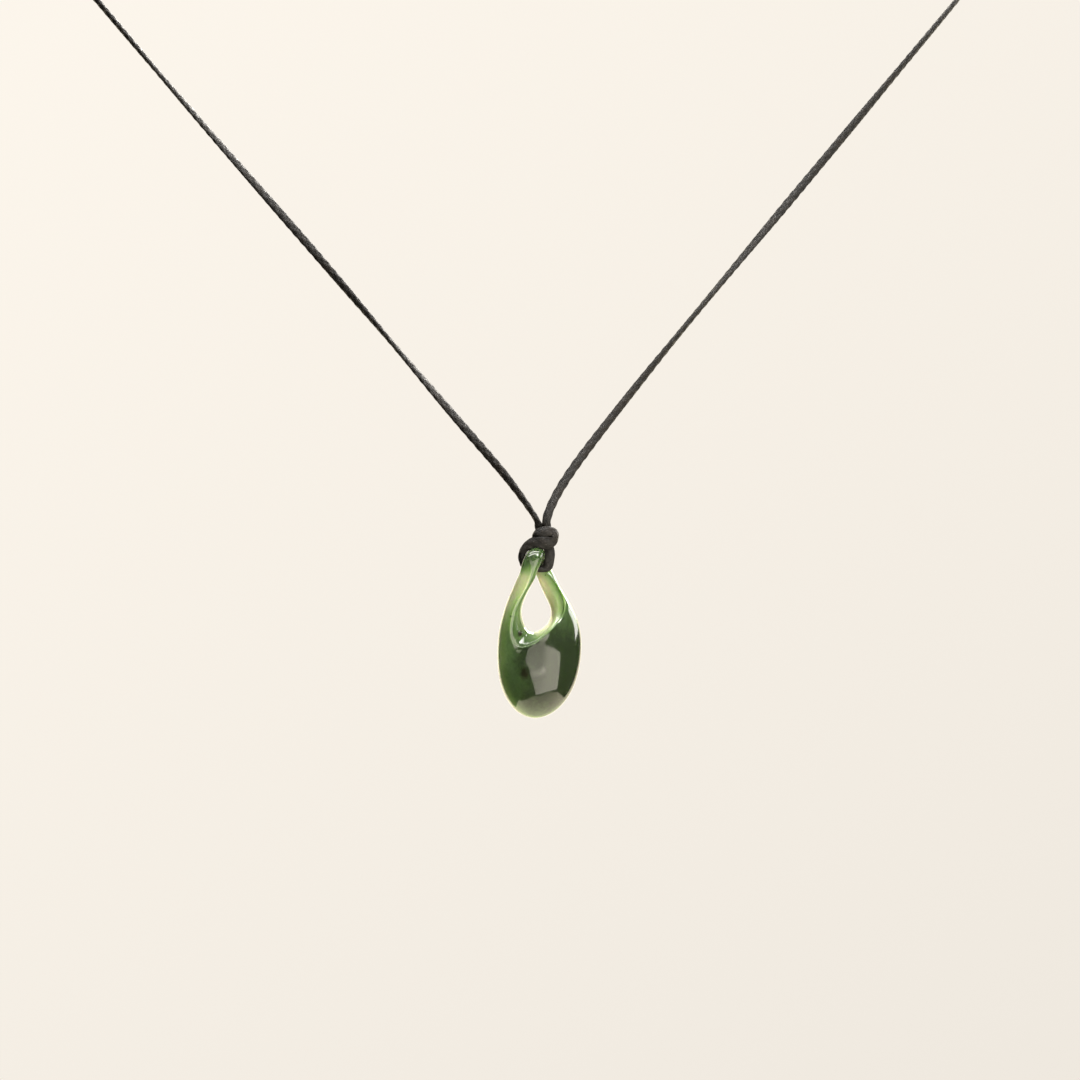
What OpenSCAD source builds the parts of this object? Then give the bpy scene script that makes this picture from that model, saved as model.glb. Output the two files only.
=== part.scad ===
/* [Stone] */
// Height of the carved stone, from its lowest point to the top of the bridge
stone_h = 30.6; // [28:0.2:33]
// Width of the stone over its shoulders
stone_w = 15.1; // [14:0.1:16.5]
// Depth of the carving between the front ridge and the back ridge
ridge_t = 8.8; // [8:0.1:9.8]
// How far the belly swells below the eye, at the front and at the back
belly = 2.4; // [1.2:0.1:2.6]
// Width of the narrow rounding along the carved edges
edge_round = 0.8; // [0.1:0.05:0.8]

/* [Bridge] */
// Clear distance between the two arms where they cross
arm_gap = 3.0; // [2.9:0.05:3.3]
// Thickness of the bridge that joins the arms over the top
bridge_t = 2.55; // [2.3:0.05:2.7]

/* [Cord] */
// Thickness of the braided cord
cord_d = 1.5; // [1.3:0.1:1.6]
// Thickness of a strand where the hitch pulls it tight
hitch_d = 1.14; // [1:0.02:1.15]
// How far the pendant hangs in front of the nape
reach = 122; // [118:1:126]
// How far the lowest point of the stone hangs below the nape
drop = 178; // [174:1:182]
// Length of the knot that closes the cord
knot_l = 6.4; // [5:0.2:8]
// Thickness of the knot that closes the cord
knot_d = 4.4; // [3.8:0.1:5]

/* [Detail] */
// Rings of the stone between two rows of its table
stone_steps = 4; // [2:1:5]
// Faces of the stone in each quarter of a section
stone_faces = 8; // [5:1:9]
// Rings of the hitch between two points of its route
hitch_steps = 2; // [2:1:3]
// Rings of the cord between two points of its route
cord_steps = 2; // [2:1:3]
// Sides of the cord
cord_sides = 8; // [8:1:10]

/* [Hidden] */

// The sizes that the table below was measured at
table_h = 30.6;
table_w = 15.1;
table_t = 8.8;
// Height of the middle of the hole under the bridge, above the lowest point of the stone
hole_z = 26.6;
arch_in = arm_gap / 2;
arch_out = arch_in + bridge_t;
// Sideways places of the arch at equal steps, from the front arm over the bridge to the back arm
arch_x = [-1.95, -1.35, -1.1, -0.8, -0.45, -0.3, -0.1, 0.2, 0.5];
// Half widths of the arch at the same steps
arch_half = [1.55, 1.75, 1.68, 1.55, 1.45, 1.2, 1.25, 1.4, 1.5];
// How square the arch is seen from the side: 1 is round, less is squarer
arch_bend = 0.6;
// How square the outer face of the arch is at its top, from 0 to 1
arch_square = 0.35;
// Ridge share of the arch over the front arm: 0 at its left side, 1 at its right side
arch_share = 0.66;
// Where the face sinks most behind a ridge on the eye's side and where it is level again,
// as shares of that face
fold_step = 0.1;
fold_end = 0.5;
// Points crowd towards the ridges by this power
crowd = 1.25;

// One row for each section of the stone, from the left arm round the bottom to the right arm.
// toward: direction from the eye to the outline, in degrees
// x, z: middle of the section as seen from the front, z above the lowest point
// half: half the distance from the eye to the outline
// share: where the front ridge runs, from 0 on the outline to 1 at the eye
// y: how far the front ridge stands before the middle plane, negative to the front
// crease: how sharp the ridge is, from 0 to 1
// fold: how deep the face sinks behind the ridge on the eye's side
stone_rows = [
  // toward, x,     z,    half, share,  y,  crease, fold
  [163, -2.20, 25.60, 1.45, 0.70, -4.05, 0.15, 0],
  [158, -3.10, 23.90, 1.38, 0.80, -4.15, 0.25, 0],
  [157, -3.95, 22.10, 1.35, 0.72, -4.25, 0.40, 0],
  [163, -4.60, 20.40, 1.42, 0.60, -4.30, 0.60, 0],
  [180, -4.95, 18.95, 1.60, 0.50, -4.35, 0.70, 0],
  [201, -5.25, 17.30, 2.15, 0.50, -4.35, 0.60, 0],
  [222, -5.35, 14.70, 3.25, 0.47, -4.10, 0.75, 0],
  [241, -4.95, 11.00, 5.40, 0.70, -3.75, 0.85, 0],
  [256, -3.30,  8.25, 7.30, 0.84, -4.25, 1.00, 0],
  [270, -0.70,  7.30, 8.10, 0.89, -4.25, 1.00, 0],
  [284,  1.95,  8.65, 7.40, 0.91, -4.32, 1.00, 0],
  [299,  3.75, 11.20, 5.90, 0.90, -4.05, 1.00, 0],
  [319,  4.60, 14.55, 4.00, 0.86, -3.35, 0.90, 0],
  [340,  4.60, 17.10, 2.85, 0.75, -2.30, 0.80, 0.3],
  [360,  4.15, 19.00, 2.08, 0.44, -1.55, 0.70, 0.85],
  [375,  3.50, 20.60, 1.72, 0.17, -1.00, 0.50, 0.8],
  [383,  2.55, 22.20, 1.60, 0.08, -0.40, 0.35, 0.5],
  [382,  1.70, 23.90, 1.55, 0.10,  0.55, 0.25, 0.2],
  [378,  1.00, 25.50, 1.52, 0.26,  1.35, 0.15, 0]
];

// The hitch: x, y behind the middle plane and z above the lowest point of the stone. Its
// left leg comes down behind, the strand passes under the bridge, turns back as the bight
// in front of both legs, passes under the bridge again and leaves as the right leg.
left_leg = [
  [-0.60, 0.30, 35.8], [-0.25, 0.45, 34.6], [0.00, 0.65, 33.4], [0.35, 0.90, 32.3],
  [1.00, 1.00, 31.3], [1.60, 0.90, 30.3]
];
bight = [
  [-2.90, 0.65, 30.2], [-1.50, 0.70, 31.3], [-0.80, 0.25, 32.3], [-0.95, -0.65, 33.2],
  [0.00, -1.15, 33.45], [1.00, -1.25, 33.5], [1.90, -1.10, 33.5], [2.70, -0.95, 33.25],
  [2.80, -0.95, 32.2], [2.10, -1.15, 31.5], [1.00, -1.40, 31.4], [-0.30, -1.35, 31.5],
  [-1.70, -1.05, 31.4], [-3.00, -0.75, 30.3]
];
right_leg = [
  [1.65, -0.55, 30.3], [1.55, -0.05, 31.3], [1.50, 0.10, 32.3], [1.35, 0.15, 33.4],
  [1.15, 0.10, 34.6], [1.10, 0.10, 35.8]
];
// Both passes under the bridge, as x and z, the first one behind the other
strand_y = 0.65;
strand_pass = [
  [1.75, 29.1], [1.65, 27.9], [1.2, 26.95], [0.2, 26.7], [-1, 26.7], [-2.3, 26.8],
  [-3.2, 27.6], [-3.4, 28.9]
];
hitch_route = concat(
  left_leg, [for (p = strand_pass) [p[0], strand_y, p[1]]], bight,
  [for (i = [len(strand_pass) - 1:-1:0]) [strand_pass[i][0], -strand_y, strand_pass[i][1]]],
  right_leg
);

// The cord from the top of the hitch's right leg, up the right side, round the nape and
// down the left side: x, y and z from the nape.
cord_route = [
  [2.3, -120, -139], [5.2, -117, -134], [11.2, -112.5, -126], [22.2, -104, -112],
  [40.4, -91, -90], [63.6, -74, -62], [83, -60.5, -38.5], [90, -52, -30], [92, -42, -23],
  [89, -31, -16.5], [81, -21, -11], [68, -12, -6], [50, -5, -2], [31, -1, 0], [16, 0, 0],
  [8, 0, 0], [0, 0, 0], [-8, 0, 0], [-16, 0, 0], [-31, -1, 0], [-50, -5, -2],
  [-68, -12, -6], [-83, -21, -11], [-93, -31, -16.5], [-97, -42, -23], [-95.5, -52, -30],
  [-88.2, -60.5, -38.5], [-68.5, -74, -62], [-43.9, -91, -90], [-25.3, -104, -112],
  [-13.5, -112.5, -126], [-6.4, -117, -134], [-2.8, -120, -139]
];

// Value of a smooth spline at share f between the points b and c, with a before and d after
function blend(a, b, c, d, f) =
  (a * pow(1 - f, 3) + b * (3 * pow(f, 3) - 6 * f * f + 4)
    + c * (-3 * pow(f, 3) + 3 * f * f + 3 * f + 1) + d * pow(f, 3)) / 6;

function limit(v, low, high) = min(max(v, low), high);

function ease(v) = let(s = limit(v, 0, 1)) s * s * (3 - 2 * s);

// A row of the stone as a flat list: middle, half across, front direction, then share,
// depth and crease of the front and of the back, then belly and fold of the four quarters:
// eye to front, front to outline, outline to back, back to eye. The back is the front of
// the row on the other side, because the stone looks the same turned half round.
function side_row(i) =
  let(
    last = len(stone_rows) - 1,
    r = stone_rows[i],
    m = stone_rows[last - i],
    wide = stone_w / table_w,
    tall = stone_h / table_h,
    deep = ridge_t / table_t,
    half = r[3] * wide,
    front = r[5] * deep,
    back = -m[5] * deep,
    middle = (front + back) / 2,
    swell = belly * pow(limit((r[3] - 3) / 4.3, 0, 1), 1.4)
  )
  [r[1] * wide, middle, hole_z + (r[2] - hole_z) * tall,
   half * cos(r[0]), 0, half * sin(r[0]), 0, -1, 0,
   r[4], middle - front, r[6], m[4], back - middle, m[6],
   0, r[7], swell, 0, swell, 0, 0, m[7]];

// The same row as the other end of the ring meets it: outline and eye, and front and back,
// change places
function turned(r) =
  [r[0], r[1], r[2], -r[3], -r[4], -r[5], -r[6], -r[7], -r[8],
   1 - r[12], r[13], r[14], 1 - r[9], r[10], r[11],
   r[19], r[20], r[21], r[22], r[15], r[16], r[17], r[18]];

// A row of the arch that carries the front arm over into the back arm
function arch_row(i) =
  let(
    f = i / (len(arch_half) - 1),
    angle = 180 * f,
    middle = (arch_in + arch_out) / 2,
    thick = (arch_out - arch_in) / 2,
    over = (1 - cos(angle)) / 2,
    back = -sign(cos(angle)) * pow(abs(cos(angle)), arch_bend),
    up = pow(sin(angle), arch_bend),
    steep = 2 / arch_bend - 1
  )
  [arch_x[i], middle * back, hole_z + middle * up,
   -arch_half[i], 0, 0, 0, sign(back) * pow(abs(back), steep), pow(up, steep),
   arch_share + (1 - 2 * arch_share) * over, thick, -arch_square * sin(angle), 0.5, thick, 0,
   for (k = [1:8]) 0];

bottom_row = floor(len(stone_rows) / 2);
ring_rows = [
  for (i = [bottom_row:-1:0]) side_row(i),
  for (i = [0:len(arch_half) - 1]) arch_row(i),
  for (i = [len(stone_rows) - 1:-1:bottom_row + 1]) turned(side_row(i))
];

// Row i of the ring, which may run past either end
function ring_row(i) =
  let(n = len(ring_rows))
  i < 0 ? turned(ring_rows[i + n]) : i >= n ? turned(ring_rows[i - n]) : ring_rows[i];

// Depth that the fold takes off a face, at share s from the ridge to the edge
function fold_cut(s, deep) =
  deep * pow(min(s / fold_step, 1), 2) * limit((fold_end - s) / (fold_end - fold_step), 0, 1);

// Point at share v of quarter q of a row
function section_point(r, q, v) =
  let(
    side = q < 2 ? 9 : 12,
    depth = r[side + 1],
    crease = r[side + 2],
    ridge = 1 - 2 * r[side],
    end = q == 0 || q == 3 ? -1 : 1,
    t = 90 * (q % 2 == 0 ? 1 - pow(1 - v, crowd) : 1 - pow(v, crowd)),
    from_ridge = (90 - t) * PI / 180,
    across = [r[3], r[4], r[5]],
    front = [r[6], r[7], r[8]],
    round = min(edge_round / max(abs(end - ridge) * norm(across), 0.001), 1.2),
    flat = (round + from_ridge * from_ridge / round) / 2,
    near = from_ridge < round,
    line = near ? 1 - 2 * flat / PI : t / 90,
    swell = r[15 + 2 * q] * 2.6 * pow(sin(t), 2) * (near ? flat : cos(t)),
    out = depth * ((1 - crease) * sin(t) + crease * line) + swell
      - fold_cut(cos(t), r[16 + 2 * q])
  )
  [r[0], r[1], r[2]] + across * (ridge + (end - ridge) * cos(t))
    + (q < 2 ? 1 : -1) * out * front / norm(front);

function stone_ring(u) =
  let(i = floor(u), r = blend(ring_row(i - 1), ring_row(i), ring_row(i + 1), ring_row(i + 2), u - i))
  [for (q = [0:3], k = [0:stone_faces - 1]) section_point(r, q, k / stone_faces)];

// The stone hangs below the hole under its bridge
module greenstone_twist() {
  rings = len(ring_rows) * stone_steps;
  sides = 4 * stone_faces;
  points = [for (i = [0:rings - 1]) each stone_ring(i / stone_steps)];
  // Past the last ring the first one is met half a turn on
  function corner(i, k) = i < rings ? i * sides + k % sides : (k + sides / 2) % sides;
  faces = [
    for (i = [0:rings - 1], k = [0:sides - 1])
      each [
        [corner(i, k), corner(i + 1, k), corner(i + 1, k + 1)],
        [corner(i, k), corner(i + 1, k + 1), corner(i, k + 1)]
      ]
  ];
  color("darkseagreen") translate([0, -reach, -drop]) polyhedron(points, faces);
}

// The whole cord as one closed route: the hitch first, then up and round the nape
cord_points = concat([for (p = hitch_route) p + [0, -reach, -drop]], cord_route);
hitch_end = len(hitch_route) - 1;

function on_cord(u) =
  let(n = len(cord_points), i = floor(u))
  blend(cord_points[(i - 1 + n) % n], cord_points[(i + n) % n], cord_points[(i + 1) % n],
    cord_points[(i + 2) % n], u - i);

function unit(v) = v / norm(v);

function heading(u) = unit(on_cord(u + 0.01) - on_cord(u - 0.01));

// A side direction carried along the route without twist
function carried(side, ahead) = unit(side - ahead * (side * ahead));

// Tube along the route from point a to point b, with its radius given by thick(u)
module route_tube(a, b, steps, thick) {
  count = (b - a) * steps;
  at = [for (i = [0:count]) a + i / steps];
  sides = [
    for (i = 0, s = carried([1, 0.3, 0.2], heading(at[0])); i <= count;
         i = i + 1, s = carried(s, heading(at[min(i, count)]))) s
  ];
  points = [
    for (i = [0:count], k = [0:cord_sides - 1])
      let(s = sides[i], c = cross(heading(at[i]), s), w = 360 * k / cord_sides)
      on_cord(at[i]) + thick(at[i]) * (s * cos(w) + c * sin(w))
  ];
  last = count * cord_sides;
  faces = [
    for (i = [0:count - 1], k = [0:cord_sides - 1])
      let(a0 = i * cord_sides, a1 = a0 + cord_sides, n = (k + 1) % cord_sides)
      each [[a0 + k, a1 + k, a1 + n], [a0 + k, a1 + n, a0 + n]],
    [for (k = [0:cord_sides - 1]) k],
    [for (k = [cord_sides - 1:-1:0]) last + k]
  ];
  polyhedron(points, faces);
}

// The cord thins over its first points where the hitch pulls it tight
function hitch_radius(u) =
  let(to_end = min(u, hitch_end - u))
  (hitch_d + (cord_d - hitch_d) * ease(1 - to_end / 2)) / 2;

module front_knot() {
  color("dimgray") route_tube(0, hitch_end, hitch_steps, function(u) hitch_radius(u));
}

module neck_cord() {
  color("black") route_tube(hitch_end, len(cord_points), cord_steps, function(u) cord_d / 2);
}

// A plain wound knot, with the cord running through it along the nape
module closing_knot() {
  bore = cord_d / 2 + 0.05;
  wraps = 4;
  wrap_r = knot_l / wraps / 2;
  color("dimgray") rotate([0, 90, 0]) difference() {
    union() {
      cylinder(h = knot_l - 2 * wrap_r, r = knot_d / 2 - wrap_r / 2, center = true, $fn = 32);
      for (i = [0:wraps - 1])
        translate([0, 0, (i - (wraps - 1) / 2) * 2 * wrap_r])
          rotate_extrude($fn = 32) translate([knot_d / 2 - wrap_r, 0]) circle(r = wrap_r, $fn = 24);
    }
    cylinder(h = 2 * knot_l, r = bore, center = true, $fn = 32);
  }
}

greenstone_twist();
front_knot();
neck_cord();
closing_knot();
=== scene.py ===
"""A carved greenstone twist, hung by a hitch from a braided neck cord."""

import math

import bpy
import numpy as np
from bpy.props import FloatProperty, FloatVectorProperty, IntProperty, PointerProperty
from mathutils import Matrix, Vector
from mathutils.bvhtree import BVHTree


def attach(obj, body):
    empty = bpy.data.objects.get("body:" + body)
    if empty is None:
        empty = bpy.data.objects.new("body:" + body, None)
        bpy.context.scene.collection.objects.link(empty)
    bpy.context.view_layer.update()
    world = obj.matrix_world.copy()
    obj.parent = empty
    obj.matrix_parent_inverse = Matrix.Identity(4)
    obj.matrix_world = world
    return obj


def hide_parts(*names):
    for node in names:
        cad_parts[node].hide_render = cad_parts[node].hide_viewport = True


bl_info = {
    "name": "Greenstone Twist Pendant",
    "version": (1, 0, 0),
    "blender": (4, 5, 0),
    "location": "View3D > Sidebar > Pendant",
    "description": "Builds a carved greenstone twist on a braided neck cord",
    "category": "Add Mesh",
}

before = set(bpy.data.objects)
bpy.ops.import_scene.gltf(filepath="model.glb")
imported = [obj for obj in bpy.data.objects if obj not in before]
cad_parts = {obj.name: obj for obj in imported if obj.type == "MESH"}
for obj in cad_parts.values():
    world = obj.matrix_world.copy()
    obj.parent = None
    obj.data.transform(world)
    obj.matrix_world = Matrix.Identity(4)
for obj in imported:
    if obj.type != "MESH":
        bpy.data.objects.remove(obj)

# The lowest point of the stone hangs here from the nape, in metres
STONE_FOOT = np.array([0.0, -0.122, -0.178])
MM = 0.001

# The hitch, in metres from the lowest point of the stone
STRAND_Y = 0.00065
LEFT_LEG = [
    (-0.0006, 0.0003, 0.0358), (-0.00025, 0.00045, 0.0346), (0.0, 0.00065, 0.0334),
    (0.00035, 0.0009, 0.0323), (0.001, 0.001, 0.0313), (0.0016, 0.0009, 0.0303),
]
STRAND_PASS = [
    (0.00175, 0.0291), (0.00165, 0.0279), (0.0012, 0.02695), (0.0002, 0.0267),
    (-0.001, 0.0267), (-0.0023, 0.0268), (-0.0032, 0.0276), (-0.0034, 0.0289),
]
BIGHT = [
    (-0.0029, 0.00065, 0.0302), (-0.0015, 0.0007, 0.0313), (-0.0008, 0.00025, 0.0323),
    (-0.00095, -0.00065, 0.0332), (0.0, -0.00115, 0.03345), (0.001, -0.00125, 0.0335),
    (0.0019, -0.0011, 0.0335), (0.0027, -0.00095, 0.03325), (0.0028, -0.00095, 0.0322),
    (0.0021, -0.00115, 0.0315), (0.001, -0.0014, 0.0314), (-0.0003, -0.00135, 0.0315),
    (-0.0017, -0.00105, 0.0314), (-0.003, -0.00075, 0.0303),
]
RIGHT_LEG = [
    (0.00165, -0.00055, 0.0303), (0.00155, -0.00005, 0.0313), (0.0015, 0.0001, 0.0323),
    (0.00135, 0.00015, 0.0334), (0.00115, 0.0001, 0.0346), (0.0011, 0.0001, 0.0358),
]
HITCH_ROUTE = (
    LEFT_LEG
    + [(x, STRAND_Y, z) for x, z in STRAND_PASS]
    + BIGHT
    + [(x, -STRAND_Y, z) for x, z in reversed(STRAND_PASS)]
    + RIGHT_LEG
)
HITCH_END = len(HITCH_ROUTE) - 1

# The cord up the right side, round the nape and down the left side, in metres
CORD_ROUTE = [
    (0.0023, -0.12, -0.139), (0.0052, -0.117, -0.134), (0.0112, -0.1125, -0.126),
    (0.0222, -0.104, -0.112), (0.0404, -0.091, -0.09), (0.0636, -0.074, -0.062),
    (0.083, -0.0605, -0.0385), (0.09, -0.052, -0.03), (0.092, -0.042, -0.023),
    (0.089, -0.031, -0.0165), (0.081, -0.021, -0.011), (0.068, -0.012, -0.006),
    (0.05, -0.005, -0.002), (0.031, -0.001, 0.0), (0.016, 0.0, 0.0), (0.008, 0.0, 0.0),
    (0.0, 0.0, 0.0), (-0.008, 0.0, 0.0), (-0.016, 0.0, 0.0), (-0.031, -0.001, 0.0),
    (-0.05, -0.005, -0.002), (-0.068, -0.012, -0.006), (-0.083, -0.021, -0.011),
    (-0.093, -0.031, -0.0165), (-0.097, -0.042, -0.023), (-0.0955, -0.052, -0.03),
    (-0.0882, -0.0605, -0.0385), (-0.0685, -0.074, -0.062), (-0.0439, -0.091, -0.09),
    (-0.0253, -0.104, -0.112), (-0.0135, -0.1125, -0.126), (-0.0064, -0.117, -0.134),
    (-0.0028, -0.12, -0.139),
]
LOOP = np.vstack([np.array(HITCH_ROUTE) + STONE_FOOT, np.array(CORD_ROUTE)])

# How far the flat braid has turned on the neck cord, in degrees, at metres from its
# right end: 0 shows its wide side to the front
CORD_TURNS = [
    (0.0, -10), (0.014, 0), (0.050, 80), (0.086, 180), (0.150, 270), (0.290, 450),
    (0.448, 630), (0.501, 720), (0.529, 810), (0.556, 900), (0.575, 975),
]

# The hitch's strand at route points: width and thickness in millimetres, and where its
# wide side faces
HITCH_STRAND = [
    (2, 1.60, 1.0, (0.3, -0.9, 0.0)),
    (6, 1.50, 1.0, (0.9, -0.2, 0.2)),
    (8, 1.30, 1.05, (0.3, 0.0, 1.0)),
    (11, 1.30, 1.05, (0.0, 0.0, 1.0)),
    (13, 1.35, 1.0, (-0.9, 0.2, 0.2)),
    (16, 1.60, 1.0, (-0.8, 0.2, 0.6)),
    (19, 1.95, 1.05, (0.0, -1.0, 0.35)),
    (22, 1.85, 1.0, (1.0, -0.6, 0.0)),
    (24.5, 2.5, 1.05, (0.0, -1.0, -0.1)),
    (27, 1.65, 1.0, (-0.5, -0.8, 0.3)),
    (29, 1.30, 1.0, (-0.8, -0.4, 0.0)),
    (31, 1.20, 1.05, (0.0, 0.0, 1.0)),
    (32.3, 1.45, 1.05, (0.3, -0.8, 0.7)),
    (33.3, 1.9, 1.05, (0.2, -1.0, 0.2)),
    (36, 1.95, 1.0, (0.1, -1.0, 0.0)),
    (38, 1.65, 1.0, (0.1, -1.0, 0.0)),
]

# Sections of the stone from the left arm round the bottom to the right arm, in
# millimetres from its lowest point: direction from the eye to the outline in degrees,
# middle x and z, half width, ridge share, ridge depth, crease, fold depth
STONE_ROWS = [
    (163, -2.20, 25.60, 1.45, 0.70, -4.05, 0.15, 0),
    (158, -3.10, 23.90, 1.38, 0.80, -4.15, 0.25, 0),
    (157, -3.95, 22.10, 1.35, 0.72, -4.25, 0.40, 0),
    (163, -4.60, 20.40, 1.42, 0.60, -4.30, 0.60, 0),
    (180, -4.95, 18.95, 1.60, 0.50, -4.35, 0.70, 0),
    (201, -5.25, 17.30, 2.15, 0.50, -4.35, 0.60, 0),
    (222, -5.35, 14.70, 3.25, 0.47, -4.10, 0.75, 0),
    (241, -4.95, 11.00, 5.40, 0.70, -3.75, 0.85, 0),
    (256, -3.30, 8.25, 7.30, 0.84, -4.25, 1.00, 0),
    (270, -0.70, 7.30, 8.10, 0.89, -4.25, 1.00, 0),
    (284, 1.95, 8.65, 7.40, 0.91, -4.32, 1.00, 0),
    (299, 3.75, 11.20, 5.90, 0.90, -4.05, 1.00, 0),
    (319, 4.60, 14.55, 4.00, 0.86, -3.35, 0.90, 0),
    (340, 4.60, 17.10, 2.85, 0.75, -2.30, 0.80, 0.3),
    (360, 4.15, 19.00, 2.08, 0.44, -1.55, 0.70, 0.85),
    (375, 3.50, 20.60, 1.72, 0.17, -1.00, 0.50, 0.8),
    (383, 2.55, 22.20, 1.60, 0.08, -0.40, 0.35, 0.5),
    (382, 1.70, 23.90, 1.55, 0.10, 0.55, 0.25, 0.2),
    (378, 1.00, 25.50, 1.52, 0.26, 1.35, 0.15, 0),
]
# Tone of the same sections: at the eye, at the ridge on the eye's side and on the other
# side, and at the outline, where 0 is the palest and 1 the darkest. The pale tones are partly
# the stone's own colour and partly painted light that shines through thin stone. Then how
# far the ridge shows a painted highlight and the outline a painted pale rim of light
STONE_TONES = [
    (0.74, 0.68, 0.26, 0.22, 0.0, 0.0), (0.74, 0.66, 0.33, 0.25, 0.2, 0.0),
    (0.74, 0.66, 0.40, 0.22, 0.2, 0.0), (0.70, 0.68, 0.58, 0.16, 0.2, 0.0),
    (0.66, 0.70, 0.64, 0.26, 0.2, 0.0), (0.70, 0.76, 0.70, 0.40, 0.2, 0.0),
    (0.76, 0.80, 0.82, 0.50, 0.1, 0.2), (0.78, 0.84, 0.94, 0.64, 0.1, 0.75),
    (0.70, 0.82, 1.02, 0.86, 0.2, 0.8), (0.50, 0.76, 1.02, 1.00, 0.2, 0.4),
    (0.36, 0.68, 1.02, 1.04, 0.2, 0.2), (0.22, 0.58, 1.00, 1.04, 0.2, 0.0),
    (0.12, 0.50, 0.96, 1.02, 0.2, 0.0), (0.14, 0.62, 0.90, 0.94, 0.2, 0.1),
    (0.16, 0.66, 0.88, 0.88, 0.2, 0.2), (0.16, 0.66, 0.84, 0.86, 0.2, 0.2),
    (0.02, 0.76, 0.88, 0.88, 0.1, 0.1), (-0.22, 0.80, 0.88, 0.88, 0.0, 0.0),
    (-0.24, 0.80, 0.78, 0.78, 0.0, 0.0),
]

# The bridge, in millimetres: tone, half width and x of its sections, from the left arm to
# the right arm
ARCH_TONES = [0.66, 0.88, 0.88, 0.84, 0.74, 0.60, 0.55, 0.50, 0.50]
ARCH_HALF = [1.55, 1.75, 1.68, 1.55, 1.45, 1.2, 1.25, 1.4, 1.5]
ARCH_X = [-1.95, -1.35, -1.1, -0.8, -0.45, -0.3, -0.1, 0.2, 0.5]
# Its inner and outer radius and the height of their middle, its ridge share, then how
# square its path is, where 1 is round, and how square its outer face is, where 0 is round
ARCH_IN, ARCH_OUT = 1.5, 4.05
HOLE_Z = 26.6
ARCH_SHARE = 0.66
ARCH_BEND = 0.6
ARCH_SQUARE = 0.35

# The body swells where a section's half width is over SWELL_FROM, by a power of the share
# of SWELL_SPAN that it has beyond that. SWELL_TOP brings the swell's highest place to 1
SWELL_FROM, SWELL_SPAN, SWELL_POWER = 3, 4.3, 1.4
SWELL_TOP = 2.6
# Shares of the way from the ridge to the edge at which the fold is deepest and ends
FOLD_STEP, FOLD_END = 0.1, 0.5
# The most that a ridge's rounding takes of the quarter turn from there to the edge
MOST_ROUND = 1.2
# Widths of the painted highlight along a ridge and of the painted pale rim of light along the
# outline, in millimetres
RIDGE_HIGHLIGHT_WIDTH, RIM_LIGHT_WIDTH = 0.12, 0.8
# Painted light that shines through thin stone: how much paler the thinnest stone is,
# then in millimetres the depth over which this fades and how far under the surface the
# measuring of that depth starts
SHINE_THROUGH_PAINT, THIN_DEPTH, THIN_START = 0.22, 0.4, 0.02
# Sections round the ring, points along a quarter of each, and how much these crowd
# towards the ridges
RINGS, QUARTER, CROWD = 560, 30, 1.6

# Columns of a section's row: the front's values start at FRONT_AT, the back's at BACK_AT
# and those of the four quarters at QUARTERS_AT
FRONT_AT, BACK_AT, QUARTERS_AT = 9, 12, 15
QUARTER_VALUES = 6

# Tones of the stone's colours, from the palest to the darkest. The pale colours are
# partly the stone's own and partly painted light that shines through thin stone; the
# palest is also that of the painted ridge highlights and pale rims of light
TONE_COLOURS = [
    (0.0, "thin_colour"), (0.20, "pale_colour"), (0.40, "arm_colour"),
    (0.60, "green_colour"), (0.78, "deep_colour"), (1.0, "body_colour"),
]
# How much the clouds and the fibres change the tone, and the size of the clouds in metres
CLOUDS, FIBRES, STONE_MOTTLE = 0.22, 0.14, 0.0055
# Light from behind that shines through the palest parts
SHINE_COLOUR, SHINE = (0.88, 0.86, 0.54), 0.3
# Dark spots, in metres from the lowest point: middle, what each axis counts for, where
# less makes the spot longer, then radius and strength
SPOTS = [
    ((-0.0027, -0.0042, 0.0082), (1.0, 0.5, 0.62), 0.0010, 1.0),
    ((-0.0036, -0.0025, 0.0152), (1.0, 0.25, 0.8), 0.0005, 1.0),
    ((-0.0052, -0.0040, 0.0183), (1.0, 0.6, 1.0), 0.00028, 0.6),
    ((0.0010, 0.0015, 0.0256), (1.0, 0.5, 1.0), 0.0002, 0.6),
    ((0.0022, -0.0030, 0.0026), (1.0, 0.6, 1.3), 0.0007, 0.4),
]
SPOT_COLOUR = (0.012, 0.012, 0.006)

# Points used to measure a route, steps along a route in metres, and sides round a strand
ROUTE_SAMPLES = 20001
NECK_STEP, HITCH_STEP, LENGTH_STEP, PATH_STEP = 0.00025, 0.00012, 0.001, 0.002
CORD_SIDES, HITCH_SIDES = 32, 40
# One strand of the braid: half its width as a share of the room for it, then the mean and
# the swing of its height as it goes over and under the others
STRAND_HALF, STRAND_MEAN, STRAND_SWING = 0.57, 0.62, 0.38
# Plaits of this height lie on the cord's own section, and lower ones inside it
PLAIT_LEVEL = 0.8
# How much the hitch's plaits are flattened
HITCH_RELIEF = 0.8
# How far the neck cord's width and thickness vary, and their waves in radians per metre
WIDTH_VARIES, WIDTH_WAVES = 0.03, (190, 71)
THICKNESS_VARIES, THICKNESS_WAVE = 0.04, 233
# The painted shade in the grooves and the browner parts as shares of the cord's colour,
# the size of its mottling in metres and the yarns in a strand
GROOVE_PAINTED_SHADE, BROWN_SHADE = 0.25, (1.7, 1.45, 1.25)
CORD_MOTTLE, YARNS = 0.0035, 4

# The closing knot, in metres: its winding, half the width and half the thickness of its
# strand, and the length and the relative size of the strand's tapered ends
KNOT_TURNS, KNOT_LENGTH, KNOT_RADIUS = 3.9, 0.0051, 0.00148
KNOT_HALF_WIDTH, KNOT_HALF_THICK = 0.00075, 0.00062
KNOT_TAPER, KNOT_TIP = 0.0006, 0.25
KNOT_POINTS = 520

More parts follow.
